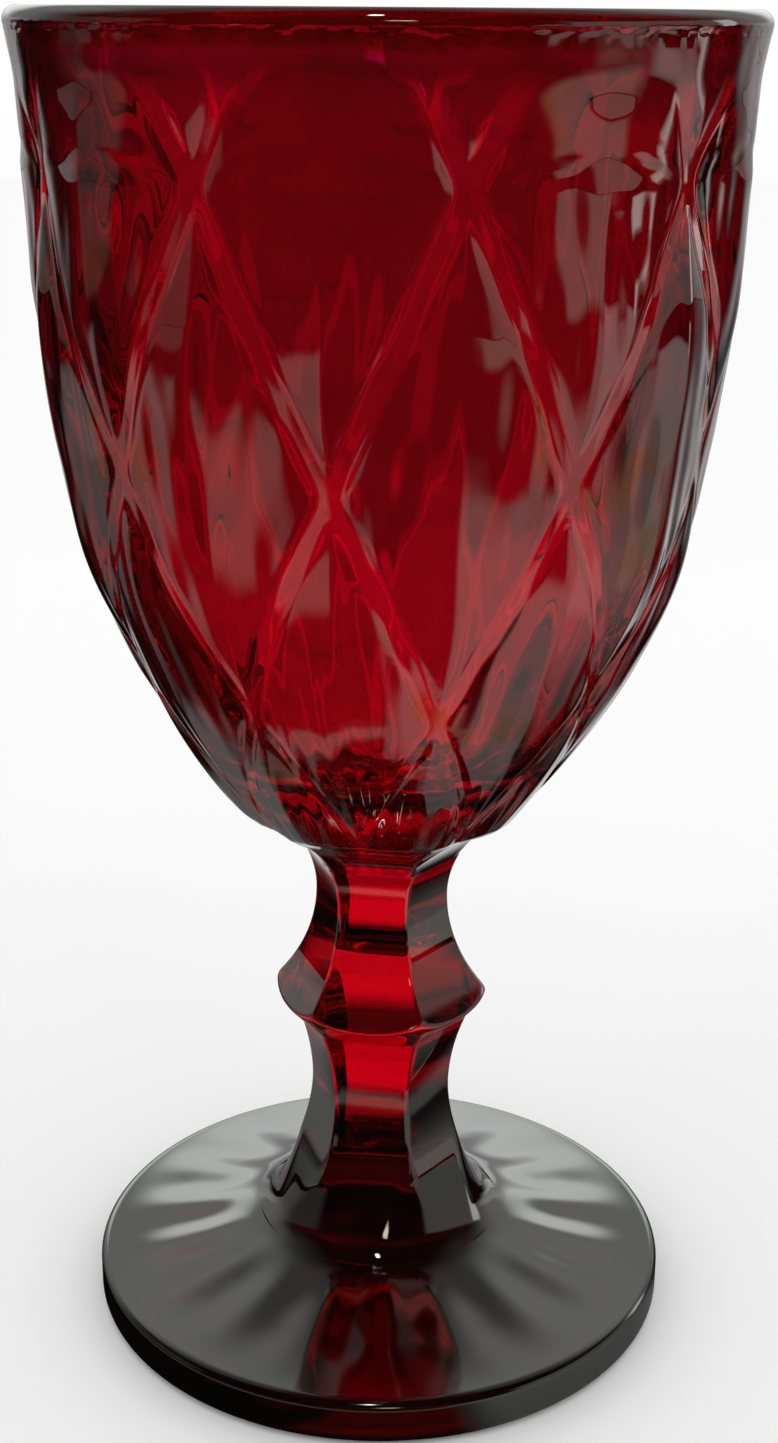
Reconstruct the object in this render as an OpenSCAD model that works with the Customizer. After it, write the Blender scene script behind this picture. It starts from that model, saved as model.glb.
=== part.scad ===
// Pressed glass goblet: round foot with flutes, six-sided stem with a knop,
// and a bowl covered in rows of pillow-shaped diamonds under a plain rim.
// The foot stands on z = 0 and the axis of the goblet is the Z axis.
// A diamond crossing of the second row and a flat of the stem face -Y.

/* [Pattern] */
// Diamonds round the bowl, in one row
diamonds_around = 9; // [6:1:12]
// Sides of the stem
stem_sides = 6; // [5:1:8]

/* [Foot] */
// Outer diameter of the foot
foot_diameter = 75.8; // [66:0.2:86]
// Height of the foot where the stem grows out of it
foot_rise = 11; // [10:0.2:13]
// Height at which the top of the foot meets its rounded edge
foot_edge_height = 6.1; // [5:0.1:7]
// Radius of the upper roundness of the edge
foot_edge_round = 1.2; // [0.8:0.1:2]
// Radius of the lower roundness of the edge
foot_heel_round = 1.7; // [1:0.1:2.8]
// Diameter of the shallow hollow underneath
foot_hollow_diameter = 60; // [50:1:64]
// Depth of that hollow at its middle
foot_hollow_depth = 1.2; // [0.6:0.1:2]
// Depth of the flutes in the top of the foot
flute_depth = 0.6; // [0.3:0.05:0.9]
// Radius of a flute's channel at its inner end
flute_inner_round = 2.8; // [1.5:0.1:3.4]
// Radius of a flute's channel at its outer end
flute_outer_round = 7.6; // [4:0.1:9]
// Gap from the stem to the start of a flute
flute_inset = 1.4; // [0.5:0.1:3]
// Plain band between the end of a flute's channel and the edge of the foot
flute_margin = 7.6; // [6:0.2:10]

/* [Lower stem] */
// Length of the stem below the knop
lower_stem_length = 29; // [26:0.5:33]
// Height of its waist above the foot
lower_waist_rise = 19; // [17:0.5:21]
// Distance across the flats at that waist
lower_waist_flats = 16.2; // [14:0.1:18]
// Radius of the hollow sweep of its flats
lower_facet_sweep = 26.5; // [24:0.5:32]
// Diameter of the round base on the foot
stem_base_diameter = 32.4; // [30:0.2:35]
// Diameter halfway up the flare from the foot to the waist
stem_flare_diameter = 22; // [20:0.2:24]
// Diameter of the round blank at the lower waist
lower_waist_diameter = 18.6; // [17.6:0.1:19.6]

/* [Knop] */
// Length of the knop
knop_length = 7.2; // [6.4:0.2:8.4]
// Largest diameter of the knop
knop_diameter = 27.6; // [26:0.2:30]
// Height of that largest diameter above the knop's lower end
knop_bulge_rise = 3.7; // [3:0.1:4.2]
// Diameter of the round lower end of the knop
knop_lower_diameter = 23.2; // [22:0.1:24.4]
// Diameter of the round upper end of the knop
knop_upper_diameter = 24.4; // [22.4:0.1:25.4]

/* [Upper stem] */
// Length of the stem between knop and bowl
upper_stem_length = 15.5; // [14:0.5:18]
// Height of its waist above the knop
upper_waist_rise = 9.8; // [8.5:0.1:11]
// Distance across the flats at that waist
upper_waist_flats = 15; // [13:0.1:16.6]
// Radius of the hollow sweep of its flats below the waist
upper_facet_sweep = 20.5; // [18:0.5:24]
// Radius of that sweep above the waist, where it runs into the bowl
bowl_facet_sweep = 13; // [11:0.2:15]
// Diameter of the round blank at the upper waist
upper_waist_diameter = 17.3; // [16.6:0.1:18.6]
// Diameter of the round blank where the bowl begins
stem_top_diameter = 20.4; // [19.4:0.2:22]

/* [Bowl outside] */
// Diameter at the rim
rim_diameter = 86.2; // [78:0.2:92]
// Plain band and upper diamonds, from the rim down to the first row of crossings
rim_to_first_row = 17; // [14:0.5:20]
// Height from the second row of crossings up to the first
second_to_first_row = 30.7; // [26:0.5:34]
// Height from the third row up to the second
third_to_second_row = 27.7; // [24:0.5:31]
// Height from the fourth row up to the third
fourth_to_third_row = 19.8; // [18:0.5:23]
// Height from the bowl's lower end up to the fourth row
base_to_fourth_row = 7.1; // [6:0.1:9]
// Diameter halfway between the rim and the first row
shoulder_diameter = 83.2; // [76:0.2:90]
// Diameter across the crossings of the first row
first_row_diameter = 80; // [74:0.2:86]
// Diameter of the swell between the first and second rows
swell_diameter = 80.4; // [74:0.2:86]
// Diameter across the crossings of the second row
second_row_diameter = 76; // [70:0.2:80]
// Diameter of the belly between the second and third rows
belly_diameter = 71.8; // [64:0.2:74]
// Diameter across the crossings of the third row
third_row_diameter = 60.2; // [54:0.2:64]
// Diameter between the third and fourth rows
cheek_diameter = 49.2; // [44:0.2:53]
// Diameter across the crossings of the fourth row
fourth_row_diameter = 34.8; // [31:0.2:38]
// Rise of a diamond's middle over its grooves, at the first row
pillow_rise = 1.6; // [0.6:0.1:2.2]
// Rise of a diamond's middle over its grooves, at the fourth row
low_pillow_rise = 0.8; // [0.3:0.1:1.2]
// Height of the plain band under the rim
plain_band = 4.6; // [3:0.2:7]
// Height over which the upper diamonds fade into the plain band
fade_height = 6; // [3:0.5:9]

/* [Bowl inside] */
// Thickness of the glass at the rim
rim_wall = 3.4; // [3:0.1:4]
// Radius of the roundness on both edges of the rim
lip_round = 1.55; // [0.8:0.05:1.65]
// Thickness of the glass at the first row
first_row_wall = 3; // [2.4:0.1:4]
// Thickness of the glass at the second row
second_row_wall = 3.4; // [2.6:0.1:4.4]
// Thickness of the glass at the third row, measured level
third_row_wall = 4.8; // [4:0.1:6]
// Thickness of the glass between the third and fourth rows, measured level
cheek_wall = 8; // [7:0.2:10]
// Thickness of the solid glass under the middle of the bowl
floor_thickness = 10.4; // [9:0.2:12]

/* [Hidden] */
$fn = 96;
glass = [0.5, 0, 0.06];
// Overrun of every cut
over = 1;

// Heights of the joints between the pieces, stacked up from the table
knop_z = foot_rise + lower_stem_length;
upper_stem_z = knop_z + knop_length;
bowl_z = upper_stem_z + upper_stem_length;
lower_waist_z = foot_rise + lower_waist_rise;
upper_waist_z = upper_stem_z + upper_waist_rise;
knop_bulge_z = knop_z + knop_bulge_rise;

// Heights of the rows of crossings
row_z = [
    bowl_z,
    bowl_z + base_to_fourth_row,
    bowl_z + base_to_fourth_row + fourth_to_third_row,
    bowl_z + base_to_fourth_row + fourth_to_third_row + third_to_second_row,
    bowl_z + base_to_fourth_row + fourth_to_third_row + third_to_second_row + second_to_first_row
];
rim_z = row_z[4] + rim_to_first_row;
lip_z = rim_z - lip_round;

// Where the swell, belly and shoulder lie between their rows
middle_share = 0.5;

// Outside of the bowl along its grooves, as [height, radius] from the bottom up
bowl_outline = [
    [bowl_z, stem_top_diameter / 2],
    [row_z[1], fourth_row_diameter / 2],
    [row_z[1] + fourth_to_third_row * middle_share, cheek_diameter / 2],
    [row_z[2], third_row_diameter / 2],
    [row_z[2] + third_to_second_row * middle_share, belly_diameter / 2],
    [row_z[3], second_row_diameter / 2],
    [row_z[3] + second_to_first_row * middle_share, swell_diameter / 2],
    [row_z[4], first_row_diameter / 2],
    [row_z[4] + rim_to_first_row * middle_share, shoulder_diameter / 2],
    [rim_z, rim_diameter / 2]
];

// Grid of the bowl's outside: columns to each diamond, and rows to each row of crossings
grid_columns = 16;
grid_rows = 8;
columns_total = diamonds_around * grid_columns;
pitch = 360 / diamonds_around;

// Cubic curve of a value between two points, with their slopes
function hermite(f, a, b, slope_a, slope_b, span) =
    a * (1 + 2 * f) * (1 - f) * (1 - f) + b * f * f * (3 - 2 * f)
    + slope_a * span * f * (1 - f) * (1 - f) - slope_b * span * f * f * (1 - f);

// Slope of a list of [height, radius] at point i
function slope_at(list, i) =
    let (a = max(i - 1, 0), b = min(i + 1, len(list) - 1))
    (list[b][1] - list[a][1]) / (list[b][0] - list[a][0]);

// Index of the stretch of the list that holds a height
function stretch(list, z, i = 0) =
    (i >= len(list) - 2 || z < list[i + 1][0]) ? i : stretch(list, z, i + 1);

// Radius of a smooth outline at a height
function outline_radius(list, z) =
    let (
        i = stretch(list, z),
        span = list[i + 1][0] - list[i][0],
        f = (z - list[i][0]) / span
    )
    hermite(f, list[i][1], list[i + 1][1], slope_at(list, i), slope_at(list, i + 1), span);

// Points of a smooth outline, from the bottom up, as [radius, height]
function outline_points(list, steps) = [
    for (i = [0 : steps])
        let (z = list[0][0] + (list[len(list) - 1][0] - list[0][0]) * i / steps)
        [outline_radius(list, z), z]
];

// Points of an arc, as [radius, height]
function arc_points(centre, r, from, to, steps) = [
    for (i = [0 : steps])
        let (a = from + (to - from) * i / steps)
        centre + r * [cos(a), sin(a)]
];

// Point of a smooth path through a list of points, a fraction f past point i
function path_point(list, i, f) =
    let (
        last = len(list) - 1,
        a = list[max(i - 1, 0)],
        b = list[i],
        c = list[min(i + 1, last)],
        d = list[min(i + 2, last)]
    )
    b * (1 + 2 * f) * (1 - f) * (1 - f) + c * f * f * (3 - 2 * f)
    + (c - a) / 2 * f * (1 - f) * (1 - f) - (d - b) / 2 * f * f * (1 - f);

// Row count from the first row of crossings (0) down to the fourth (3), at a height
function row_at(z) =
    z >= row_z[3] ? (row_z[4] - z) / second_to_first_row
    : z >= row_z[2] ? 1 + (row_z[3] - z) / third_to_second_row
    : z >= row_z[1] ? 2 + (row_z[2] - z) / fourth_to_third_row
    : 3 + (row_z[1] - z) / fourth_to_third_row;

// Height at a row count
function z_at(row) =
    row <= 1 ? row_z[4] - row * second_to_first_row
    : row <= 2 ? row_z[3] - (row - 1) * third_to_second_row
    : row <= 3 ? row_z[2] - (row - 2) * fourth_to_third_row
    : row_z[1] - (row - 3) * fourth_to_third_row;

// Part of a number after its point, and its distance to the nearest whole number
function fraction(x) = x - floor(x);
function off_whole(x) = abs(x - round(x));

// Crown of a pillow across one pair of its sides, 0 in a groove and 1 in the middle
function crown(x) = 4 * fraction(x) * (1 - fraction(x));

// Smooth step from 0 to 1
function smooth_step(x) = let (c = min(max(x, 0), 1)) c * c * (3 - 2 * c);

// Height of the pillows over the grooves, at a column (in diamonds) and a height
function pillow(column, z) =
    let (
        row = row_at(z),
        top_fade = smooth_step((rim_z - plain_band - z) / fade_height),
        base_fade = smooth_step((z - bowl_z) / base_to_fourth_row),
        rise = pillow_rise + (low_pillow_rise - pillow_rise) * min(max(row / 3, 0), 1)
    )
    rise * top_fade * base_fade * crown(column + row / 2) * crown(column - row / 2);

// Heights of the grid's levels below the lip, from the bottom up
lowest_row = row_at(bowl_z);
lip_row = row_at(lip_z);
base_levels = 3;
band_levels = 5;
lip_levels = 4;
levels = concat(
    [for (i = [0 : base_levels - 1]) z_at(lowest_row + (3 - lowest_row) * i / base_levels)],
    [for (i = [0 : 3 * grid_rows]) z_at(3 - i / grid_rows)],
    [for (i = [1 : band_levels]) z_at(lip_row * i / band_levels)]
);

// One ring of the outside; the rings are turned so that a column starts on a crossing of
// the first row
function ring(z) = [
    for (i = [0 : columns_total - 1])
        let (
            column = i / grid_columns,
            a = (column + middle_share) * pitch,
            r = outline_radius(bowl_outline, z) + pillow(column, z)
        )
        [r * sin(a), -r * cos(a), z]
];
function plain_ring(r, z) = [
    for (i = [0 : columns_total - 1])
        let (a = (i / grid_columns + middle_share) * pitch)
        [r * sin(a), -r * cos(a), z]
];
function lip_ring(i) =
    let (a = 90 * i / lip_levels)
    plain_ring(outline_radius(bowl_outline, lip_z) - lip_round * (1 - cos(a)),
               lip_z + lip_round * sin(a));

// The bowl's outside as a closed solid, with its pillows and the round outer edge of the lip
module bowl_outside() {
    ring_count = len(levels) + lip_levels;
    points = [
        for (z = levels) each ring(z),
        for (i = [1 : lip_levels]) each lip_ring(i),
        [0, 0, bowl_z],
        [0, 0, lip_z + lip_round]
    ];
    bottom = ring_count * columns_total;
    top = bottom + 1;
    faces = [
        for (k = [0 : ring_count - 2])
            for (i = [0 : columns_total - 1])
                let (
                    j = (i + 1) % columns_total,
                    a = k * columns_total + i,
                    b = k * columns_total + j,
                    c = a + columns_total,
                    d = b + columns_total,
                    row = k < len(levels) ? row_at(levels[k]) : 0,
                    rising = off_whole(i / grid_columns + row / 2)
                        <= off_whole((i + 1) / grid_columns - row / 2)
                )
                each (rising ? [[a, c, d], [a, d, b]] : [[a, c, b], [b, c, d]]),
        for (i = [0 : columns_total - 1])
            [bottom, i, (i + 1) % columns_total],
        for (i = [0 : columns_total - 1])
            [top, bottom - columns_total + (i + 1) % columns_total, bottom - columns_total + i]
    ];
    polyhedron(points, faces);
}

// Thickness of the bowl's wall, measured level, as [height, thickness] from the cheek up
bowl_wall = [
    [row_z[1] + fourth_to_third_row * middle_share, cheek_wall],
    [row_z[2], third_row_wall],
    [row_z[3], second_row_wall],
    [row_z[4], first_row_wall],
    [lip_z, rim_wall]
];

// Point on the inside of the bowl at a height, as [radius, height]
function inside_point(z) = [outline_radius(bowl_outline, z) - outline_radius(bowl_wall, z), z];

// The inside of the bowl, open at the rim: a rounded floor that sweeps up into the walls. The
// lip's last facet runs on past the rim, so that the cut leaves no skin there.
module bowl_inside() {
    floor_steps = 6;
    wall_steps = 26;
    lip_centre = inside_point(lip_z) + [lip_round, 0];
    lip_arc = arc_points(lip_centre, lip_round, 180, 90, lip_levels);
    lip_run = lip_arc[lip_levels] - lip_arc[lip_levels - 1];
    lip_end = lip_arc[lip_levels] + lip_run * over / norm(lip_run);
    floor_path = [
        [0, bowl_z + floor_thickness],
        inside_point(row_z[1] + fourth_to_third_row * middle_share),
        inside_point(row_z[2]),
        inside_point(row_z[2] + third_to_second_row * middle_share)
    ];
    rotate_extrude()
        polygon(concat(
            [[0, rim_z + over]],
            [for (i = [0 : 1]) for (j = [0 : floor_steps - 1]) path_point(floor_path, i, j / floor_steps)],
            [for (i = [0 : wall_steps]) inside_point(row_z[2] + (lip_z - row_z[2]) * i / wall_steps)],
            [for (i = [0 : lip_levels - 1]) lip_arc[i]],
            [lip_end, [lip_end[0], rim_z + over]]
        ));
}

// Tool that sweeps one hollow flat: a half round log lying across the stem
module flat_log(waist_z, flats, sweep, from_z, to_z) {
    width = rim_diameter;
    rotate([90, 0, -90])
        linear_extrude(width, center = true)
            intersection() {
                translate([flats / 2 + sweep, waist_z])
                    circle(sweep, $fn = 128);
                translate([0, from_z])
                    square([flats / 2 + 2 * sweep, to_z - from_z]);
            }
}

// All flats of the lower stem, between the foot and the knop
module lower_flats() {
    for (i = [0 : stem_sides - 1])
        rotate(i * 360 / stem_sides)
            flat_log(lower_waist_z, lower_waist_flats, lower_facet_sweep, foot_rise - over, knop_z + over);
}

// All flats that run from the knop over the upper stem into the bowl
module upper_flats() {
    for (i = [0 : stem_sides - 1])
        rotate(i * 360 / stem_sides) {
            flat_log(upper_waist_z, upper_waist_flats, upper_facet_sweep,
                     upper_waist_z - upper_facet_sweep, upper_waist_z);
            flat_log(upper_waist_z, upper_waist_flats, bowl_facet_sweep,
                     upper_waist_z, upper_waist_z + bowl_facet_sweep);
        }
}

// A round blank turned from an outline of [height, radius] points
module turned(list, steps) {
    rotate_extrude()
        polygon(concat([[0, list[0][0]]], outline_points(list, steps), [[0, list[len(list) - 1][0]]]));
}

// One flute of the foot: a channel that widens outward and ends round
module flute() {
    start = stem_base_diameter / 2 + flute_inset;
    end = foot_diameter / 2 - flute_margin;
    run = foot_diameter / 2 - foot_edge_round - stem_base_diameter / 2;
    fall = (foot_rise - foot_edge_height) / run;
    start_z = foot_rise - fall * flute_inset - flute_depth + flute_inner_round;
    end_z = foot_rise - fall * (end - stem_base_diameter / 2) - flute_depth + flute_outer_round;
    length = norm([end - start, end_z - start_z]);
    tilt = atan2(end_z - start_z, end - start);
    translate([start, 0, start_z])
        rotate([0, 90 - tilt, 0]) {
            sphere(flute_inner_round, $fn = 32);
            cylinder(length, flute_inner_round, flute_outer_round, $fn = 32);
            translate([0, 0, length])
                sphere(flute_outer_round, $fn = 32);
        }
}

// The flat underside ring carries the goblet; the hollow inside it is a shallow dome. The
// roundness of the heel takes no more than its share of the ring.
module foot() {
    edge = foot_diameter / 2;
    hollow = foot_hollow_diameter / 2;
    heel_share = 0.8;
    heel = min(foot_heel_round, (edge - hollow) * heel_share);
    dome = (hollow * hollow + foot_hollow_depth * foot_hollow_depth) / (2 * foot_hollow_depth);
    dome_angle = asin(hollow / dome);
    color(glass)
        difference() {
            rotate_extrude()
                polygon(concat(
                    arc_points([0, foot_hollow_depth - dome], dome, 90, 90 - dome_angle, 8),
                    arc_points([edge - heel, heel], heel, -90, 0, 6),
                    arc_points([edge - foot_edge_round, foot_edge_height - foot_edge_round],
                               foot_edge_round, 0, 90, 6),
                    [[stem_base_diameter / 2, foot_rise], [0, foot_rise]]
                ));
            for (i = [0 : 2 * diamonds_around - 1])
                rotate(-90 + i * 180 / diamonds_around)
                    flute();
        }
}

// Lower stem: a round blank that flares onto the foot, with hollow flats
module lower_stem() {
    color(glass)
        difference() {
            turned([
                [foot_rise, stem_base_diameter / 2],
                [foot_rise + lower_waist_rise * middle_share, stem_flare_diameter / 2],
                [lower_waist_z, lower_waist_diameter / 2],
                [knop_z, knop_lower_diameter / 2]
            ], 24);
            lower_flats();
        }
}

// Knop: a round button with the stem's upper flats running down over it
module knop() {
    color(glass)
        difference() {
            turned([
                [knop_z, knop_lower_diameter / 2],
                [knop_bulge_z, knop_diameter / 2],
                [upper_stem_z, knop_upper_diameter / 2]
            ], 16);
            upper_flats();
        }
}

// Upper stem: a narrow blank with hollow flats
module upper_stem() {
    color(glass)
        difference() {
            turned([
                [upper_stem_z, knop_upper_diameter / 2],
                [upper_waist_z, upper_waist_diameter / 2],
                [bowl_z, stem_top_diameter / 2]
            ], 24);
            upper_flats();
        }
}

// Bowl: diamonds outside, plain inside, and a solid bottom that the flats run into
module bowl() {
    color(glass)
        difference() {
            bowl_outside();
            bowl_inside();
            upper_flats();
        }
}

foot();
lower_stem();
knop();
upper_stem();
bowl();
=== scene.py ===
import bpy
import math
import numpy as np
from mathutils import Matrix, Vector


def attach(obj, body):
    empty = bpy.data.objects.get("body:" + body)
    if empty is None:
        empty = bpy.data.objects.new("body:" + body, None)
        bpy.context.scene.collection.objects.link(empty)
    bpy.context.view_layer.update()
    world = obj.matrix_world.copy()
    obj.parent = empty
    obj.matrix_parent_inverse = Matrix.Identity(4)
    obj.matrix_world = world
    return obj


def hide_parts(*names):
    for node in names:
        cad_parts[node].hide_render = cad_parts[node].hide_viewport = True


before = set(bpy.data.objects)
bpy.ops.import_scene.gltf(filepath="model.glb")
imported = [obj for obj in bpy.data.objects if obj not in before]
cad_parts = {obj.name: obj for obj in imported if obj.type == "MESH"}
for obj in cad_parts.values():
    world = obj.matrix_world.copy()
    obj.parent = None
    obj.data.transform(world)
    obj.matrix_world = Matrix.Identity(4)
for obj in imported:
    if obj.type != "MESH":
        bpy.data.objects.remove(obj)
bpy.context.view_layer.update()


# ---- Foot
# The round base the goblet stands on, pressed from a gather of soda-lime glass in the same mould
# as the stem. Its top has eighteen shallow radial flutes, its edge is thick and fire-polished, and
# its underside is slightly hollow, so that it stands on a flat ring.

MM = 0.001  # in metres; the goblet's sizes below are in millimetres
COLUMNS = 504  # points round a ring, 84 to each flat of the stem and 56 to each diamond
ANGLES = np.arange(COLUMNS) * 2 * math.pi / COLUMNS  # of those points, from the front rightwards
JOINT_GAP = 0.005  # that each fused end draws back, so that no two faces lie in one plane
SEED_SIDES, SEED_LEVELS = 12, 8  # of faces round a bubble, and from its top to its bottom


def strip_faces(strip, last, leaning):
    """Faces of one strip of glass: a fan at either end, quads, or quads cut in triangles."""
    j = np.arange(COLUMNS)
    k = (j + 1) % COLUMNS
    a = 1 + (strip - 1) * COLUMNS
    b = a + COLUMNS
    if strip == 0:
        return np.stack([np.zeros(COLUMNS, int), 1 + k, 1 + j], 1).tolist()
    if strip == last:
        return np.stack([np.full(COLUMNS, b), a + j, a + k], 1).tolist()
    if strip not in leaning:
        return np.stack([a + j, a + k, b + k, b + j], 1).tolist()
    up = leaning[strip][:, None]
    first = np.where(up, np.stack([a + j, a + k, b + k], 1), np.stack([a + j, a + k, b + j], 1))
    other = np.where(up, np.stack([a + j, b + k, b + j], 1), np.stack([a + k, b + k, b + j], 1))
    return np.concatenate([first, other]).tolist()


def bubble(x, y, z, width, length, lean, start):
    """Points and faces of a bubble, which face into it; start is the number of its first point."""
    turn = Matrix.Rotation(lean, 3, "Y")
    points, faces = [], []
    for t in range(1, SEED_LEVELS):
        polar = math.pi * t / SEED_LEVELS
        for s in range(SEED_SIDES):
            side = 2 * math.pi * s / SEED_SIDES
            at = turn @ Vector((
                width / 2 * math.sin(polar) * math.cos(side),
                width / 2 * math.sin(polar) * math.sin(side),
                length / 2 * math.cos(polar)))
            points.append((x + at.x, y + at.y, z + at.z))
    end = turn @ Vector((0, 0, length / 2))
    pole = start + len(points)
    points += [(x + end.x, y + end.y, z + end.z), (x - end.x, y - end.y, z - end.z)]
    for s in range(SEED_SIDES):
        n = (s + 1) % SEED_SIDES
        lowest = start + (SEED_LEVELS - 2) * SEED_SIDES
        faces += [(pole, start + n, start + s), (pole + 1, lowest + s, lowest + n)]
        for t in range(SEED_LEVELS - 2):
            base = start + t * SEED_SIDES
            above = base + SEED_SIDES
            faces.append((base + s, base + n, above + n, above + s))
    return points, faces


def glass_mesh(
        name, rings, start, end, fused, stain_shade, bare=(), leaning=(), seeds=(), matt=0.0):
    """A closed body from rings of (radii, heights) in mm, closed on the axis at start and end.

    Strip i of faces ends at ring i. fused strips are the ends that melt into the next piece, bare
    strips have no lustre and no red, and leaning maps a strip to which way its quads are cut in
    triangles. stain maps a ring to how deep the red lies there, painted light and shade included,
    and matt is the roughness of the lustred faces. seeds are the bubbles, as (x, y, z, width,
    length, lean).
    """
    points = [[(0, 0, start)]]
    for radii, heights in rings:
        radii, heights = (np.broadcast_to(v, (COLUMNS,)) for v in (radii, heights))
        points.append(np.stack([radii * np.sin(ANGLES), -radii * np.cos(ANGLES), heights], 1))
    points.append([(0, 0, end)])
    last = len(rings)
    faces, melted, lustred = [], [], []
    for strip in range(last + 1):
        made = strip_faces(strip, last, leaning)
        faces += made
        melted += [float(strip in fused)] * len(made)
        lustred += [float(strip not in bare and strip not in fused)] * len(made)
    count = 2 + last * COLUMNS
    for seed in seeds:
        seed_points, made = bubble(*seed, count)
        points.append(seed_points)
        count += len(seed_points)
        faces += made
        melted += [0.0] * len(made)
        lustred += [0.0] * len(made)

    mesh = bpy.data.meshes.new(name)
    mesh.from_pydata((np.concatenate(points) * MM).tolist(), [], faces)
    mesh.shade_smooth()
    mesh.attributes.new("fused", "FLOAT", "FACE").data.foreach_set("value", melted)
    mesh.attributes.new("lustre", "FLOAT", "FACE").data.foreach_set("value", lustred)
    # How deep the red lies at each point, with painted light and shade in it
    depths = np.zeros(count)
    for ring, values in stain_shade.items():
        depths[1 + ring * COLUMNS:1 + (ring + 1) * COLUMNS] = values
    mesh.attributes.new("stain_and_shade", "FLOAT", "POINT").data.foreach_set("value", depths)
    roughness = np.array(lustred) * matt
    mesh.attributes.new("matt", "FLOAT", "FACE").data.foreach_set("value", roughness)

    ends = np.empty(len(mesh.edges) * 2, int)
    mesh.edges.foreach_get("vertices", ends)
    ends = ends.reshape(-1, 2)
    ring = (ends - 1) // COLUMNS + 1
    level = (ring[:, 0] == ring[:, 1]) & (ends.min(1) > 0)
    rims = {r for s in fused for r in (s, s + 1)} & set(range(1, last + 1))
    hard = level & np.isin(ring[:, 0], list(rims))
    mesh.attributes.new("sharp_edge", "BOOLEAN", "EDGE").data.foreach_set("value", hard)
    return mesh


def add(tree, kind, settings=None, inputs=None):
    """A node with its settings, and with each input set to a value or fed from an output."""
    node = tree.nodes.new(kind)
    for name, value in (settings or {}).items():
        setattr(node, name, value)
    for name, value in (inputs or {}).items():
        if isinstance(value, bpy.types.NodeSocket):
            tree.links.new(value, node.inputs[name])
        else:
            node.inputs[name].default_value = value
    return node


def linear(code):
    """The linear colour of an sRGB hex code."""
    parts = [int(code[i:i + 2], 16) / 255 for i in (1, 3, 5)]
    return tuple(
        c / 12.92 if c <= 0.04045 else ((c + 0.055) / 1.055) ** 2.4 for c in parts) + (1,)


# Pressed ruby glass: clear soda-lime glass, fire-polished, with a red stain and a film of metal
# oxide sprayed on its outside while hot. To the eye the wall is clear and deep red, and almost
# black where it is seen at a slant. How deep the red lies also carries painted light and shade:
# the bands between the diamonds are painted bright, and the diamonds, the top of the bowl, the
# foot's underside and edge and the stem's base are painted darker. The film gives the cool grey,
# slightly uneven mirror of lustred glass, and it is duller on the foot.
GLASS_IOR = 1.52
FUSED_IOR = 1.001  # of a fused end, where light goes from glass to glass and isn't bent
LUSTRE_IOR = 2.2  # tin or titanium oxide
LUSTRE_THICKNESS, THICKER_LUSTRE = 65.0, 22.0  # nanometres, and how much more in a spot's middle
SPOT_SIZE, CLOUD_SIZE = 14.0, 22.0  # mm, of the film's spots and of the stain's clouds
SPOT_EDGES = (0.54, 0.68)  # values of the noise where a spot begins and where it is thickest
CLOUD_DEPTH, SLANT_DEPTH = 0.5, 0.9  # what the clouds and a slanting look add to the stain's depth
SPOTLESS_MATT = 0.05  # from this roughness on the film has no spots
GLASS_TAKES = (5.0, 300.0, 30.0)  # absorption per metre of red, green and blue
# The red's two ends: the bright one for thin stain and painted light, the dark one for deep stain,
# a slant and painted shade
THIN_STAIN_AND_LIGHT, DEEP_STAIN_AND_SHADE = linear("#FF0028"), linear("#260003")
CLEAR = linear("#FFFFFF")

pressed_ruby_glass = bpy.data.materials.new("pressed_ruby_glass")
pressed_ruby_glass.use_nodes = True
tree = pressed_ruby_glass.node_tree
tree.nodes.clear()
where = add(tree, "ShaderNodeTexCoord")
coat = add(tree, "ShaderNodeAttribute", {"attribute_name": "lustre"})
matt = add(tree, "ShaderNodeAttribute", {"attribute_name": "matt"})

joint = add(tree, "ShaderNodeAttribute", {"attribute_name": "fused"})
ior = add(tree, "ShaderNodeMath", {"operation": "MULTIPLY_ADD"}, {
    0: joint.outputs["Fac"], 1: FUSED_IOR - GLASS_IOR, 2: GLASS_IOR})

spots = add(tree, "ShaderNodeTexNoise", None, {
    "Vector": where.outputs["Object"], "Scale": 1000 / SPOT_SIZE, "Detail": 2.0,
    "Roughness": 0.5, "Distortion": 0.6})
thicker = add(tree, "ShaderNodeMapRange", {"interpolation_type": "SMOOTHSTEP"}, {
    "Value": spots.outputs[0], "From Min": SPOT_EDGES[0], "From Max": SPOT_EDGES[1],
    "To Min": 0.0, "To Max": THICKER_LUSTRE})
spotted = add(tree, "ShaderNodeMath", {"operation": "MULTIPLY_ADD", "use_clamp": True}, {
    0: matt.outputs["Fac"], 1: -1 / SPOTLESS_MATT, 2: 1.0})
thickness = add(tree, "ShaderNodeMath", {"operation": "MULTIPLY_ADD"}, {
    0: thicker.outputs[0], 1: spotted.outputs[0], 2: LUSTRE_THICKNESS})
film = add(tree, "ShaderNodeMath", {"operation": "MULTIPLY"}, {
    0: coat.outputs["Fac"], 1: thickness.outputs[0]})

# How deep the red lies, as set on each piece: the stain, with painted light and shade in it
stain_shade_in = add(tree, "ShaderNodeAttribute", {"attribute_name": "stain_and_shade"})
clouds = add(tree, "ShaderNodeTexNoise", None, {
    "Vector": where.outputs["Object"], "Scale": 1000 / CLOUD_SIZE, "Detail": 3.0,
    "Roughness": 0.55})
uneven = add(tree, "ShaderNodeMath", {"operation": "MULTIPLY_ADD"}, {
    0: clouds.outputs[0], 1: CLOUD_DEPTH, 2: -CLOUD_DEPTH / 2})
slant = add(tree, "ShaderNodeLayerWeight", None, {"Blend": 0.5})
slanted = add(tree, "ShaderNodeMath", {"operation": "POWER"}, {0: slant.outputs["Facing"], 1: 2.0})
deeper = add(tree, "ShaderNodeMath", {"operation": "MULTIPLY_ADD"}, {
    0: slanted.outputs[0], 1: SLANT_DEPTH, 2: uneven.outputs[0]})
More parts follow.
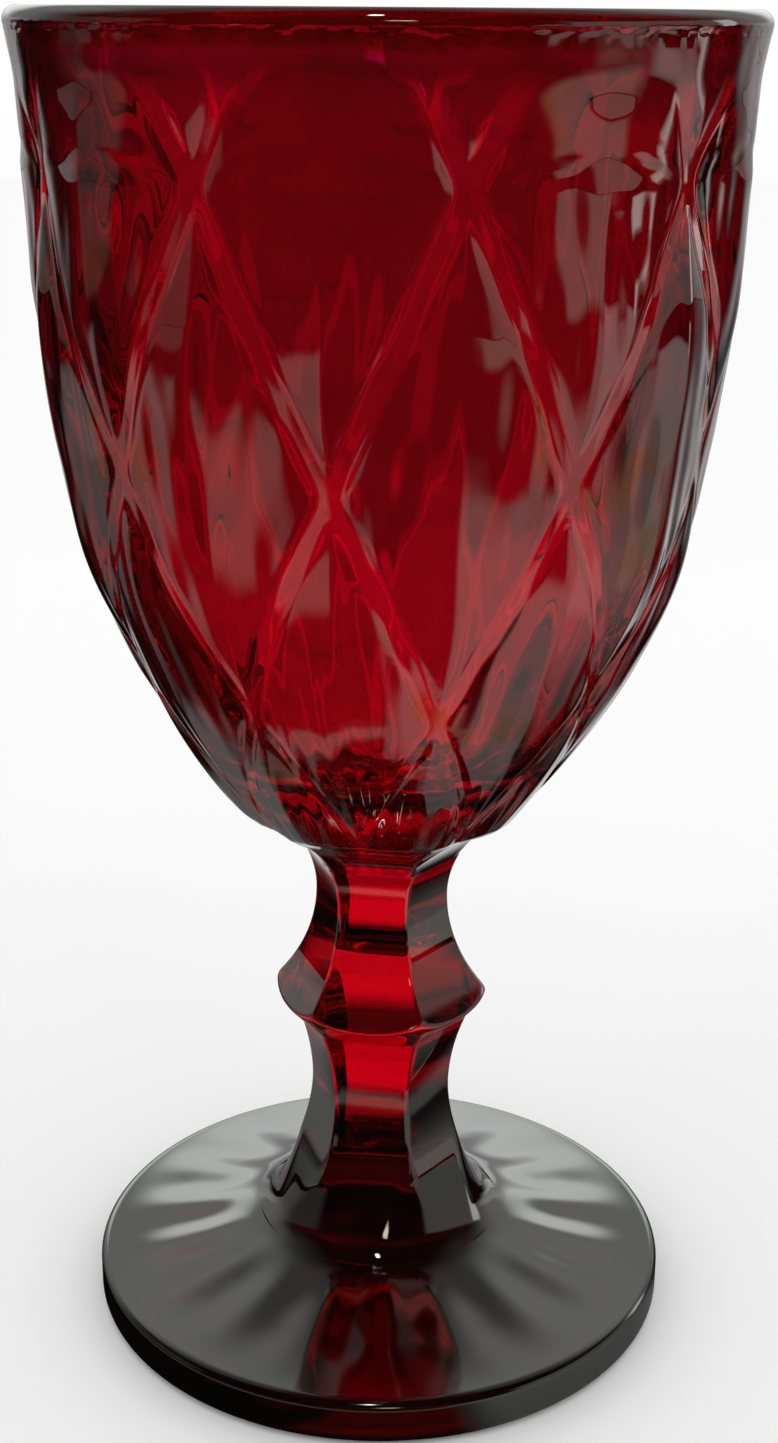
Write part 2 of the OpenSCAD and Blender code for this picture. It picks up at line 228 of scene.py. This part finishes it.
stain_shade_sum = add(tree, "ShaderNodeMath", {"operation": "ADD", "use_clamp": True}, {
    0: stain_shade_in.outputs["Fac"], 1: deeper.outputs[0]})
red = add(tree, "ShaderNodeMix", {"data_type": "RGBA"}, {
    0: stain_shade_sum.outputs[0], 6: THIN_STAIN_AND_LIGHT, 7: DEEP_STAIN_AND_SHADE})
colour = add(tree, "ShaderNodeMix", {"data_type": "RGBA"}, {
    0: coat.outputs["Fac"], 6: CLEAR, 7: red.outputs[2]})

glass = add(tree, "ShaderNodeBsdfPrincipled", None, {
    "Base Color": colour.outputs[2], "Roughness": matt.outputs["Fac"], "IOR": ior.outputs[0],
    "Transmission Weight": 1.0, "Thin Film Thickness": film.outputs[0],
    "Thin Film IOR": LUSTRE_IOR})
strongest = max(GLASS_TAKES)
depth = add(tree, "ShaderNodeVolumeAbsorption", None, {
    "Color": tuple(1 - t / strongest for t in GLASS_TAKES) + (1,), "Density": strongest})
add(tree, "ShaderNodeOutputMaterial", None, {
    "Surface": glass.outputs[0], "Volume": depth.outputs[0]})


def set_piece(mesh, node):
    """Puts a glass piece in the scene in place of its solid."""
    piece = bpy.data.objects.new(mesh.name, mesh)
    bpy.context.scene.collection.objects.link(piece)
    mesh.materials.append(pressed_ruby_glass)
    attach(piece, "root")
    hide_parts(node)


FOOT_RADIUS, HEEL_ROUND, HOLLOW_RADIUS, HOLLOW_DEPTH = 37.9, 1.7, 30.0, 1.2
EDGE_HEIGHT, EDGE_ROUND, EDGE_TURN = 6.1, 1.2, 72
FOOT_TOP, STEM_BASE = 11.0, 16.2
SLOPE_SHARE, SLOPE_POWER, FLARE_POWER = 0.8, 1.4, 10  # most of the top's rise, and its last flare
FLUTES, FLUTE_DEPTH, FLUTE_START, FLUTE_END = 18, 0.25, 16.3, 36.5
FLUTE_RUN_IN, FLUTE_RUN_OUT = 8.0, 9.0
HOLLOW_RINGS, ROUND_RINGS, TOP_RINGS, INNERMOST = 20, 9, 72, 2  # and the first ring's radius
END_SHARE = 0.6  # of a flat end's radius, where its one inner ring lies
# How deep the red lies: under the foot, deepened there by painted shade, on its top, and what
# painted shade adds round the edge and at the stem
UNDER_STAIN_SHADE, TOP_STAIN, EDGE_STEM_SHADE = 1.3, 0.8, 0.3
UNDER_RINGS, EDGE_RINGS, EDGE_FADE = 40, 58, 12  # how far the painted shade of the underside and of the edge reaches
NEAR_STEM, STEM_FADE = 22, 14  # rings from the last, where the painted shade at the stem begins, and over how many
FOOT_MATT = 0.08  # roughness
FOOT_SEEDS = [
    (-0.3, -15.6, 10.1, 1.0, 1.3, 0.2), (-0.3, -18.2, 9.0, 0.8, 1.1, 0.1),
    (5.1, -25.1, 7.2, 0.7, 0.8, 0.0), (-16.3, -33.0, 4.9, 0.9, 1.0, 0.3)]


def smooth_step(x):
    """0 below 0 and 1 above 1, with a smooth rise between them."""
    x = np.clip(x, 0, 1)
    return x * x * (3 - 2 * x)


def flute(r):
    """Depth of the flutes round the foot at radius r."""
    run = min((r - FLUTE_START) / FLUTE_RUN_IN, (FLUTE_END - r) / FLUTE_RUN_OUT)
    off = np.abs((ANGLES * FLUTES / (2 * math.pi) + 0.5) % 1 - 0.5)
    return FLUTE_DEPTH * smooth_step(run) * np.cos(off * math.pi) ** 2


def foot_stain_shade(ring, last):
    """Red with painted shade: deepest under and round the edge, thinner on top, deeper at the
    stem.
    """
    if ring < UNDER_RINGS:
        return UNDER_STAIN_SHADE
    edge_shade = smooth_step((EDGE_RINGS - ring) / EDGE_FADE)
    stem_shade = smooth_step((ring - last + NEAR_STEM) / STEM_FADE)
    return TOP_STAIN + EDGE_STEM_SHADE * edge_shade + EDGE_STEM_SHADE * stem_shade


rings = []
sphere = (HOLLOW_RADIUS ** 2 + HOLLOW_DEPTH ** 2) / (2 * HOLLOW_DEPTH)
for r in np.linspace(INNERMOST, HOLLOW_RADIUS, HOLLOW_RINGS):
    rings.append((r, HOLLOW_DEPTH - sphere + math.sqrt(sphere ** 2 - r * r)))
for a in np.radians(np.linspace(-90, 0, ROUND_RINGS)):
    rings.append((FOOT_RADIUS - HEEL_ROUND * (1 - math.cos(a)), HEEL_ROUND * (1 + math.sin(a))))
for a in np.radians(np.linspace(0, EDGE_TURN, ROUND_RINGS)):
    rings.append((FOOT_RADIUS - EDGE_ROUND * (1 - math.cos(a)),
                  EDGE_HEIGHT - EDGE_ROUND * (1 - math.sin(a))))
top_edge = rings[-1][0]
for r in np.linspace(top_edge, STEM_BASE, TOP_RINGS)[1:]:
    along = (top_edge - r) / (top_edge - STEM_BASE)
    rise = SLOPE_SHARE * along ** SLOPE_POWER + (1 - SLOPE_SHARE) * along ** FLARE_POWER
    rings.append((r, EDGE_HEIGHT + (FOOT_TOP - EDGE_HEIGHT) * rise - flute(r)))
rings[-1] = (STEM_BASE, FOOT_TOP - JOINT_GAP)
rings.append((STEM_BASE * END_SHARE, FOOT_TOP - JOINT_GAP))
last = len(rings)
set_piece(glass_mesh(
    "foot_glass", rings, HOLLOW_DEPTH, FOOT_TOP - JOINT_GAP, fused={last - 1, last},
    stain_shade={ring: foot_stain_shade(ring, last) for ring in range(last)},
    seeds=FOOT_SEEDS, matt=FOOT_MATT), "foot")


# ---- Lower stem
# The flared part of the stem, pressed in one with the foot from the same gather of glass: six
# flats swept hollow out of a round blank. A few seeds, as a glassmaker calls bubbles, lie at its
# base.

LOWER_TOP = 40.0
LOWER_WAIST, LOWER_WAIST_AT, LOWER_SWEEP = 8.1, 30, 26.5
LOWER_BLANK = [
    [11, 16.2], [11.8, 15.1], [13.2, 13.9], [16.5, 12.3], [20.5, 11], [30, 9.3], [40, 11.6]]
FLAT_ARRIS, BLANK_ARRIS = 0.4, 0.5  # widths of the fire-polished arrises
SHADED_BELOW, SHADE_FADE = 25, 9  # painted shade: the deep red of the foot fades out up the stem, ending at this height
STEM_MATT = 0.03
STEM_SEEDS = [
    (-5.7, -9.3, 16.9, 1.0, 1.5, 0.1), (-6.3, -10.4, 14.3, 0.9, 1.2, 0.2),
    (-6.4, -11.2, 12.8, 1.0, 1.2, 0.3), (2.4, -12.4, 12.7, 0.9, 1.1, 0.0)]


def soft_min(a, b, width):
    """The smaller of two radii, with the arris between them rounded over about width."""
    h = np.clip(0.5 + 0.5 * (b - a) / width, 0, 1)
    return b * (1 - h) + a * h - width * h * (1 - h)


def six_flats(distance):
    """Radius round a six-sided piece whose flats lie at distance from the axis."""
    step = math.pi / 3
    off = (ANGLES + step / 2) % step - step / 2
    return soft_min(distance / np.cos(off), distance / np.cos(step - np.abs(off)), FLAT_ARRIS)


def smooth_outline(points, z):
    """Radius at height z on the smooth outline through [height, radius] points."""
    points = np.array(points, float)
    heights, radii = points[:, 0], points[:, 1]
    slopes = np.empty(len(points))
    for i in range(len(points)):
        a, b = max(i - 1, 0), min(i + 1, len(points) - 1)
        slopes[i] = (radii[b] - radii[a]) / (heights[b] - heights[a])
    i = np.clip(np.searchsorted(heights, z, side="right") - 1, 0, len(points) - 2)
    span = heights[i + 1] - heights[i]
    f = (z - heights[i]) / span
    return (radii[i] * (1 + 2 * f) * (1 - f) ** 2 + radii[i + 1] * f * f * (3 - 2 * f)
            + slopes[i] * span * f * (1 - f) ** 2 - slopes[i + 1] * span * f * f * (1 - f))


def lower_stem_radius(z):
    swept = math.sqrt(LOWER_SWEEP ** 2 - (z - LOWER_WAIST_AT) ** 2)
    flats = six_flats(LOWER_WAIST + LOWER_SWEEP - swept)
    return soft_min(flats, smooth_outline(LOWER_BLANK, z), BLANK_ARRIS)


def stem_mesh(name, radius_at, low, high, count, seeds=()):
    """A piece of the stem between two fused ends, with count rings on its side."""
    rings = [(radius_at(low) * END_SHARE, low + JOINT_GAP)]
    rings += [(radius_at(z), z) for z in np.linspace(low + JOINT_GAP, high - JOINT_GAP, count)]
    rings.append((radius_at(high) * END_SHARE, high - JOINT_GAP))
    last = len(rings)
    # Painted shade: the red deepens towards the foot
    stain_shade = {i: smooth_step((SHADED_BELOW - z) / SHADE_FADE) for i, (r, z) in enumerate(rings)}
    return glass_mesh(name, rings, low + JOINT_GAP, high - JOINT_GAP, {0, 1, last - 1, last},
                      stain_shade, seeds=seeds, matt=STEM_MATT)


set_piece(stem_mesh(
    "lower_stem_glass", lower_stem_radius, FOOT_TOP, LOWER_TOP, count=60, seeds=STEM_SEEDS),
    "lower_stem")


# ---- Knop
# The round button on the stem, pressed glass with the rest. The upper stem's flats run down over
# its top, so that a round bead is left only at its widest.

KNOP_TOP, BEAD, BEAD_AT, BEAD_SWELL = 47.2, 13.8, 43.7, 1.4
BEAD_BLANK = [[BEAD_AT, BEAD], [44.9, 13.6], [46.1, 12.95], [KNOP_TOP, 12.2]]
UPPER_WAIST, UPPER_WAIST_AT, SWEEP_BELOW, SWEEP_ABOVE = 7.5, 57, 20.5, 13.0


def upper_flat(z):
    """Distance from the axis of the hollow-swept flats that run from the knop to the bowl."""
    sweep = SWEEP_BELOW if z < UPPER_WAIST_AT else SWEEP_ABOVE
    return UPPER_WAIST + sweep - math.sqrt(sweep ** 2 - (z - UPPER_WAIST_AT) ** 2)


def knop_radius(z):
    if z < BEAD_AT:
        below = (BEAD_AT - z) / (BEAD_AT - LOWER_TOP)
        start = lower_stem_radius(LOWER_TOP)
        blank = start + (BEAD - start) * (1 - below ** BEAD_SWELL)
    else:
        blank = smooth_outline(BEAD_BLANK, z)
    return soft_min(six_flats(upper_flat(z)), blank, BLANK_ARRIS)


set_piece(stem_mesh("knop_glass", knop_radius, LOWER_TOP, KNOP_TOP, count=36), "knop")


# ---- Upper stem
# The short waist between knop and bowl, pressed glass with six hollow-swept flats that run up into
# the underside of the bowl, where the bowl was fused on.

BOWL_BASE, BASE_RADIUS = 62.7, 10.2
UPPER_BLANK = [[KNOP_TOP, 12.2], [UPPER_WAIST_AT, 8.9], [BOWL_BASE, BASE_RADIUS]]


def upper_stem_radius(z):
    return soft_min(six_flats(upper_flat(z)), smooth_outline(UPPER_BLANK, z), FLAT_ARRIS)


set_piece(stem_mesh(
    "upper_stem_glass", upper_stem_radius, KNOP_TOP, BOWL_BASE, count=44), "upper_stem")


# ---- Bowl
# The vessel, soda-lime glass pressed between a patterned mould and a smooth plunger: nine pillowed
# diamonds round it with narrow bands between them, a plain band under a round lip, and a smooth
# inside with a thick bottom. The ring of the mould leaves a pitted line under the lip.

DIAMONDS = 9
RIM, LIP, RIM_WALL = 165.0, 1.55, 3.4
OUTLINE = [
    [BOWL_BASE, BASE_RADIUS], [69.8, 17.4], [79.7, 24.6], [89.6, 30.1], [103.45, 35.9],
    [117.3, 38.0], [132.65, 40.2], [148, 40.0], [156.5, 41.6], [RIM, 43.1]]
WALL = [[79.7, 8], [89.6, 4.8], [117.3, 3.4], [148, 3], [RIM - LIP, RIM_WALL]]
FLOOR_PATH = np.array([[0, 73.1], [16.6, 79.7], [25.3, 89.6], [31.8, 103.45]])
ROWS = [-0.56, 0, 1, 2, 3, 3.36]  # the bands cross at whole rows, counted down from the top one
ROW_HEIGHTS = [165.19, 148, 117.3, 89.6, 69.8, 62.67]
ROW_STEP, BASE_STEP, CROWN_STEP = 28, 94, -13  # rings to a row, and the numbers of the end ones
WALL_RINGS, FLOOR_RINGS = 34, 12
FLATS_END, BOWL_ARRIS = UPPER_WAIST_AT + SWEEP_ABOVE - 0.1, 0.8
BAND, RIDGE = 2 / 56, 0.035  # half width of a band and rounding of a ridge, in diamonds
RISE, LOW_RISE, RISE_POWER = 2.0, 0.9, 0.8  # of a diamond's middle, from the top row down
FULLNESS, ARCH_FULLNESS = 1.4, 2.6
FLATTEN = 0.3  # how much of the bowl's own roundness a diamond's facets lose
EDGE_STEP, EDGE_RUN = 0.1, 0.07  # at a diamond's edge, as shares of its rise and half width
BASE_FADE = 7.1
# Above its top crossing each diamond runs out in an arch, which has a soft upper end
ARCH_FOOT, ARCH_TOP, ARCH_SOFT = 148.0, 158.2, 0.12
ARCH_LEAN, ARCH_LEAD, ARCH_FADE = 4.5, 0.8, 2.4
# Sets of waves: how many, the fewest and most crests round the wall, and the greatest lean
OUTER_WAVES, INNER_WAVES = (20, 14, 80, 0.3), (12, 3, 26, 0.1)
LONG_WAVE, WAVE_FALL = 20, 0.7
# Amounts that change with height: how much, from what height, and within how many mm above it,
# or below it where that is negative
OUTER_HEIGHT, OUTER_END, CALM = (0.13, 66, 8), (1, 163, -2), (0.7, 145, 7)
INNER_HEIGHT = (0.05, 162, -6)
# The red on the bowl carries painted light and shade: the bands stay bright, and the diamonds are
# painted darker, more so up the bowl, in the plain band and at the lip
PLAIN_BAND, UPPER_SHADE, PLAIN_BAND_SHADE = (1, 156, 3), (0.06, 85, 45), (0.12, 155, 3)
DIAMOND_SHADE, LIP_STAIN_SHADE, BAND_LIGHT_EDGE = 0.5, 0.65, 0.08
PITTED_LINE, PIT_DEPTH, PIT_RIM = (162.55, 162.8, 163.05, 163.3), 0.07, 0.04


def row_at(z):
    return float(np.interp(-z, [-height for height in ROW_HEIGHTS], ROWS))


def z_at(row):
    return float(np.interp(row, ROWS, ROW_HEIGHTS))


def within_diamond(row):
    """Shares across a diamond both ways, and how far inside it, from 0 on a band to 1."""
    column = ANGLES / (2 * math.pi) * DIAMONDS - 0.5
    u, v = (column + row / 2) % 1, (column - row / 2) % 1
    side = soft_min(np.minimum(u, 1 - u), np.minimum(v, 1 - v), RIDGE)
    side = soft_min(side, 0.5, RIDGE)
    return u, v, np.clip((side - BAND) / (0.5 - BAND), 0, 1)


def pillow(row, radius):
    """Height of the diamonds above the bands between them, round the bowl at a row."""
    z = z_at(row)
    rise = RISE + (LOW_RISE - RISE) * np.clip(row / 3, 0, 1) ** RISE_POWER
    fade = smooth_step((z - BOWL_BASE) / BASE_FADE)
    u, v, inside = within_diamond(row)
    near = np.minimum(np.minimum(u, v), 1 - np.maximum(u, v))
    flat = radius / 2 * near * np.abs(1 - u - v) / 2 * (2 * math.pi / DIAMONDS) ** 2
    cut = EDGE_STEP * smooth_step(inside / EDGE_RUN)
    arched = smooth_step((z - ARCH_FOOT - ARCH_LEAN * inside + ARCH_LEAD) / ARCH_FADE)
    full = FULLNESS + (ARCH_FULLNESS - FULLNESS) * arched
    ramp = soft_min(1.0, (ARCH_TOP - z) / (ARCH_TOP - ARCH_FOOT), ARCH_SOFT)
    ramp = -soft_min(-ramp, 0.0, ARCH_SOFT)
    crown = cut + (1 - EDGE_STEP) * (1 - (1 - inside) ** full)
    return fade * ramp * (rise * crown - FLATTEN * flat)


def grown(z, amount, start, over):
    """How much of an amount there is at height z, when it grows from start on, over some mm."""
    return amount * smooth_step((z - start) / over)


chance = np.random.RandomState(11)


def draw_waves(count, fewest, most, lean):
    """Waves round the wall, as (number round it, lean, phase)."""
    return [(chance.randint(fewest, most), chance.uniform(-lean, lean), chance.uniform(0, 6.3))
            for _ in range(count)]


outer_waves = draw_waves(*OUTER_WAVES)
inner_waves = draw_waves(*INNER_WAVES)


def ripple(waves, z):
    """Slight waves that cooling leaves in the wall, long down it and short round it."""
    heights = [
        (LONG_WAVE / m) ** WAVE_FALL * np.cos(m * ANGLES + k * z + p) for m, k, p in waves]
    return sum(heights) / math.sqrt(len(waves))


def bowl_radius(row):
    """Radius round the outside: the diamonds and waves, and low down the stem's flats."""
    z = max(z_at(row), BOWL_BASE + JOINT_GAP)
    radius = smooth_outline(OUTLINE, z)
    height = grown(z, *OUTER_HEIGHT) * grown(z, *OUTER_END) * (1 - grown(z, *CALM))
    radius = radius + pillow(row, radius) + height * ripple(outer_waves, z)
    if z < FLATS_END:
        radius = soft_min(six_flats(upper_flat(z)), radius, BOWL_ARRIS)
    return radius


def bowl_stain_shade(row):
    """Painted light and shade: bright bands, dark diamonds, darker up the bowl and in the plain
    band.
    """
    z = z_at(row)
    shaded_part = np.maximum(
        smooth_step(within_diamond(row)[2] / BAND_LIGHT_EDGE), grown(z, *PLAIN_BAND))
    return shaded_part * (DIAMOND_SHADE + grown(z, *UPPER_SHADE) + grown(z, *PLAIN_BAND_SHADE))


rings = [(upper_stem_radius(BOWL_BASE) * END_SHARE, BOWL_BASE + JOINT_GAP)]
leaning, stain_shade = {}, {}
column = (ANGLES + math.pi / COLUMNS) / (2 * math.pi) * DIAMONDS - 0.5
for step in range(BASE_STEP, CROWN_STEP - 1, -1):
    row = step / ROW_STEP
    stain_shade[len(rings)] = bowl_stain_shade(row)
    # The triangles lean the way of the nearer band
    middle = row + 0.5 / ROW_STEP
    u, v = column + middle / 2, column - middle / 2
    leaning[len(rings)] = np.abs(u - np.round(u)) < np.abs(v - np.round(v))
    rings.append((bowl_radius(row), max(z_at(row), BOWL_BASE + JOINT_GAP)))
del leaning[1]  # the fused end stays in quads
plain_from = len(rings)
for z in PITTED_LINE:
    pits = chance.uniform(-PIT_DEPTH, PIT_RIM, COLUMNS)
    rings.append((bowl_radius(row_at(z)) + pits, z))
outer = smooth_outline(OUTLINE, RIM - LIP)
for a in np.radians(np.linspace(0, 90, ROUND_RINGS)):
    rings.append((outer - LIP * (1 - math.cos(a)), RIM - LIP + LIP * math.sin(a)))
inner = outer - RIM_WALL
for a in np.radians(np.linspace(90, 0, ROUND_RINGS)):
    rings.append((inner + LIP * (1 - math.cos(a)), RIM - LIP + LIP * math.sin(a)))
# Painted shade at the lip, about as dark as the top of the bowl
stain_shade.update({ring: LIP_STAIN_SHADE for ring in range(plain_from, len(rings))})
bare_from = len(rings) + 1
for z in np.linspace(RIM - LIP, FLOOR_PATH[2][1], WALL_RINGS)[1:]:
    waves = grown(z, *INNER_HEIGHT) * ripple(inner_waves, z)
    rings.append((smooth_outline(OUTLINE, z) - smooth_outline(WALL, z) + waves, z))
floor_points = []
for i in (1, 0):
    a, b, c, d = (FLOOR_PATH[max(i + n, 0)] for n in (-1, 0, 1, 2))
    for f in np.linspace(1, 0, FLOOR_RINGS)[1:]:
        floor_points.append(b * (1 + 2 * f) * (1 - f) ** 2 + c * f * f * (3 - 2 * f)
                            + (c - a) / 2 * f * (1 - f) ** 2 - (d - b) / 2 * f * f * (1 - f))
rings += [(r, z) for r, z in floor_points[:-1]]
set_piece(glass_mesh(
    "bowl_glass", rings, BOWL_BASE + JOINT_GAP, FLOOR_PATH[0][1], fused={0, 1}, stain_shade=stain_shade,
    bare=set(range(bare_from, len(rings) + 1)), leaning=leaning), "bowl")


# ---- Table
# A large sheet of white paper under the goblet. Its face is dull and even, with hardly any gloss,
# and it keeps the goblet's shadow.

TABLE_HALF, TABLE_AT = 3, -0.00005  # metres: half its side, and how high it lies

mesh = bpy.data.meshes.new("table_top")
corners = [(x, y, TABLE_AT) for x, y in (
    (-TABLE_HALF, -TABLE_HALF), (TABLE_HALF, -TABLE_HALF),
    (TABLE_HALF, TABLE_HALF), (-TABLE_HALF, TABLE_HALF))]
mesh.from_pydata(corners, [], [(0, 1, 2, 3)])
table = bpy.data.objects.new("table_top", mesh)
bpy.context.scene.collection.objects.link(table)
paper = bpy.data.materials.new("white_paper")
paper.use_nodes = True
face = paper.node_tree.nodes["Principled BSDF"]
face.inputs["Base Color"].default_value = linear("#FEFEFE")
face.inputs["Roughness"].default_value = 0.8
face.inputs["Specular IOR Level"].default_value = 0.2
mesh.materials.append(paper)


# ---- Studio light
# A white studio: the world lights the paper, and a tent of soft cards round the table gives the
# glass what it mirrors. The bright card stands behind, and the rest is dark cloth.

CLOTH = 0.004  # brightness
TENT_RADIUS, SHEEN_AT = 1.9, -0.00003  # metres
# Where the points of the cards lie: degrees round, degrees up, and mm from the goblet's axis
AZIMUTHS = np.arange(0, 360, 2.5)
SIDES = len(AZIMUTHS)
ELEVATIONS = np.arange(-0.5, 90, 1.5)
DISTANCES = [0.5] + list(np.geomspace(8, TENT_RADIUS / MM, 90))
# Cards of the tent: azimuth and elevation in degrees (0 is the front, 90 the right), half widths
# both ways, softness of the edges both ways, brightness
TENT = [
    (190, 17, 30, 8.5, 14, 8, 1.0),
    (190, 26, 60, 24, 40, 24, 0.33),
    (190, 56, 80, 20, 60, 30, 0.09),
    (187, 3, 50, 5, 25, 3, 0.3),
    (12.5, 26.5, 3.2, 2.2, 1.2, 1.2, 2.0),
    (4, 62, 2.5, 2.5, 1.2, 1.2, 12.0),
    (90, 9, 30, 15, 6, 4, 0.14),
    (124, 8, 5, 14, 3, 4, 0.9),
    (270, 9, 30, 14, 12, 6, 0.05),
]
# The same for light patches on the table, with a distance in mm in place of the elevation
SHEEN = [
    (182, 105, 28, 50, 20, 30, 0.95),
    (182, 280, 34, 150, 25, 90, 0.85),
    (182, 1100, 40, 800, 25, 200, 0.5),
    (230, 75, 45, 25, 25, 20, 0.22),
    (68, 1180, 19, 560, 6, 160, 0.17),
    (112, 900, 2.5, 250, 2.5, 100, 0.7),
    (278, 1300, 16, 500, 12, 200, 0.06),
    (104, 440, 14, 280, 8, 60, 0.27),
    (98, 330, 26, 230, 12, 100, 0.17),
    (62, 140, 32, 110, 14, 60, 0.2),
    (262, 320, 16, 200, 10, 80, 0.15),
    (328, 260, 16, 90, 8, 50, 0.13),
    (265, 430, 12, 80, 8, 80, 0.2),
    (20, 57, 120, 6, 60, 6, 0.14),
]

world = bpy.data.worlds.new("studio")
bpy.context.scene.world = world
world.use_nodes = True
tree = world.node_tree
tree.nodes.clear()
white = add(tree, "ShaderNodeBackground", None, {"Color": linear("#FFFFFF"), "Strength": 1.0})
add(tree, "ShaderNodeOutputWorld", None, {"Surface": white.outputs[0]})


def soft_box(offset, half, soft):
    """1 inside half, falling smoothly to 0 over soft."""
    return smooth_step((half + soft / 2 - np.abs(offset)) / soft)


def card_light(card, along):
    """What a card adds round the tent or the table at an elevation or distance."""
    azimuth, middle, wide, deep, soft, soft_deep, bright = card
    off = (AZIMUTHS - azimuth + 180) % 360 - 180
    return bright * soft_box(off, wide, soft) * soft_box(along - middle, deep, soft_deep)


def lit_mesh(name, rings, levels, closed=False):
    """A surface through rings that glows by its points' brightness, seen only in the glass."""
    faces = []
    for r in range(len(rings) - 1):
        for i in range(SIDES):
            k = (i + 1) % SIDES
            faces.append((r * SIDES + i, r * SIDES + k, (r + 1) * SIDES + k, (r + 1) * SIDES + i))
    if closed:
        faces.append([(len(rings) - 1) * SIDES + i for i in range(SIDES)])
    mesh = bpy.data.meshes.new(name)
    mesh.from_pydata([
        (r * math.sin(t), -r * math.cos(t), z) for r, z in rings for t in np.radians(AZIMUTHS)],
        [], faces)
    mesh.attributes.new("brightness", "FLOAT", "POINT").data.foreach_set(
        "value", np.concatenate(levels))
    material = bpy.data.materials.new(name)
    material.use_nodes = True
    tree = material.node_tree
    tree.nodes.clear()
    level = add(tree, "ShaderNodeAttribute", {"attribute_name": "brightness"})
    glow = add(tree, "ShaderNodeEmission", None, {"Strength": level.outputs["Fac"]})
    add(tree, "ShaderNodeOutputMaterial", None, {"Surface": glow.outputs[0]})
    material.cycles.emission_sampling = "NONE"
    mesh.materials.append(material)
    card = bpy.data.objects.new(name, mesh)
    bpy.context.scene.collection.objects.link(card)
    card.visible_camera = card.visible_diffuse = card.visible_shadow = False


lit_mesh(
    "light_tent",
    [(TENT_RADIUS * math.cos(e), TENT_RADIUS * math.sin(e)) for e in np.radians(ELEVATIONS)],
    [CLOTH + sum(card_light(card, e) for card in TENT) for e in ELEVATIONS], closed=True)
lit_mesh(
    "table_sheen", [(r * MM, SHEEN_AT) for r in DISTANCES],
    [np.max([card_light(card, r) for card in SHEEN] + [np.full(SIDES, CLOTH)], 0)
     for r in DISTANCES])


# ---- Camera
# A 51 mm lens close to the goblet. It is a little to the right of the front, level with the rim,
# and looks down on it, and its shifts frame it as in the photograph.

CAMERA_DISTANCE, CAMERA_ROLL = 0.24324, 0.0073  # metres from the axis, and radians
CAMERA_TURN, CAMERA_DIP = 8.7, 19.23  # degrees
PHOTO_HEIGHT = 1443  # pixels

camera = bpy.data.cameras.new("camera")
camera.lens = 51.06
camera.sensor_width = 36
camera.shift_x = 6.23 / PHOTO_HEIGHT
camera.shift_y = -1.1 / PHOTO_HEIGHT
view = bpy.data.objects.new("camera", camera)
bpy.context.scene.collection.objects.link(view)
bpy.context.scene.camera = view
turn = math.radians(CAMERA_TURN)
view.location = (CAMERA_DISTANCE * math.sin(turn), -CAMERA_DISTANCE * math.cos(turn), RIM * MM)
tilt = math.radians(90 - CAMERA_DIP)
view.rotation_euler = (Matrix.Rotation(turn, 4, "Z") @ Matrix.Rotation(tilt, 4, "X")
                       @ Matrix.Rotation(CAMERA_ROLL, 4, "Z")).to_euler()

scene = bpy.context.scene
scene.view_settings.view_transform = "Standard"
scene.cycles.max_bounces = 32
scene.cycles.transmission_bounces = 32
scene.cycles.glossy_bounces = 24
scene.cycles.transparent_max_bounces = 64
